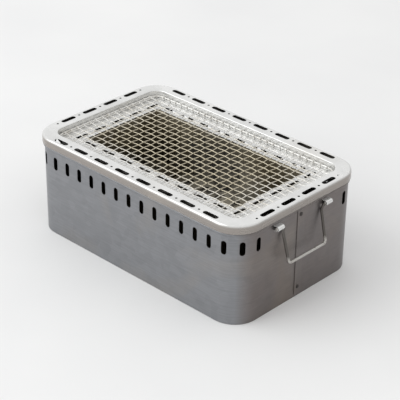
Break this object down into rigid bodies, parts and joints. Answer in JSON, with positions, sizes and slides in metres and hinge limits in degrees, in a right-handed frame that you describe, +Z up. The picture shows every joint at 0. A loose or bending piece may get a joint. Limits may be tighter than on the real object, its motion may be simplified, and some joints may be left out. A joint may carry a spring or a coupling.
{
  "type": "table-top charcoal grill",
  "caption": "Rectangular sheet-metal charcoal hibachi: vented casing, perforated top frame and fire flange, fire tub, loose grate, wire cooking net and wire bail handles.",
  "frame": {"origin": "centre of the casing's underside, on the surface it stands on", "axes": "+X along the long way, towards the short side with the lap seam; +Y across; +Z up"},
  "size_m": [0.424, 0.25, 0.15],
  "materials": {
    "galvanised_sheet": "satin galvanised",
    "rim_sheet": "bright satin galvanised",
    "fired_sheet": "heat-browned sheet",
    "net_wire": "drawn galvanised wire",
    "handle_wire": "drawn steel wire",
    "rivet": "dull"
  },
  "bodies": {
    "casing": {"casing_wall": "galvanised_sheet", "casing_collar": "galvanised_sheet", "casing_bottom": "galvanised_sheet", "seam_strip": "galvanised_sheet", "seam_rivet_top": "rivet", "seam_rivet_bottom": "rivet", "handle_strap_right_front": "rim_sheet", "handle_strap_right_back": "rim_sheet", "handle_strap_left_front": "rim_sheet", "handle_strap_left_back": "rim_sheet"},
    "frame": {"top_frame": "rim_sheet"},
    "firebox": {"firebox_flange": "rim_sheet", "firebox_tub": "fired_sheet"},
    "grate": {"charcoal_grate": "fired_sheet", "grate_rail_left": "fired_sheet", "grate_rail_right": "fired_sheet"},
    "net": {"cooking_net": "net_wire", "net_rim": "net_wire"},
    "handle_right": {"handle_bail_right": "handle_wire"},
    "handle_left": {"handle_bail_left": "handle_wire"}
  },
  "joints": [
    {"name": "frame_lift", "type": "slide", "parent": "casing", "child": "frame", "axis": [0, 0, 1], "range_m": [0, 0.15]},
    {"name": "firebox_lift", "type": "slide", "parent": "frame", "child": "firebox", "axis": [0, 0, 1], "range_m": [0, 0.13]},
    {"name": "grate_lift", "type": "slide", "parent": "firebox", "child": "grate", "axis": [0, 0, 1], "range_m": [0, 0.055]},
    {"name": "net_lift", "type": "slide", "parent": "firebox", "child": "net", "axis": [0, 0, 1], "range_m": [0, 0.06]},
    {"name": "handle_right_swing", "type": "hinge", "parent": "casing", "child": "handle_right", "pos_m": [0.201, 0, 0.127], "axis": [0, -1, 0], "range_deg": [0, 150]},
    {"name": "handle_left_swing", "type": "hinge", "parent": "casing", "child": "handle_left", "pos_m": [-0.201, 0, 0.127], "axis": [0, 1, 0], "range_deg": [0, 150]}
  ]
}
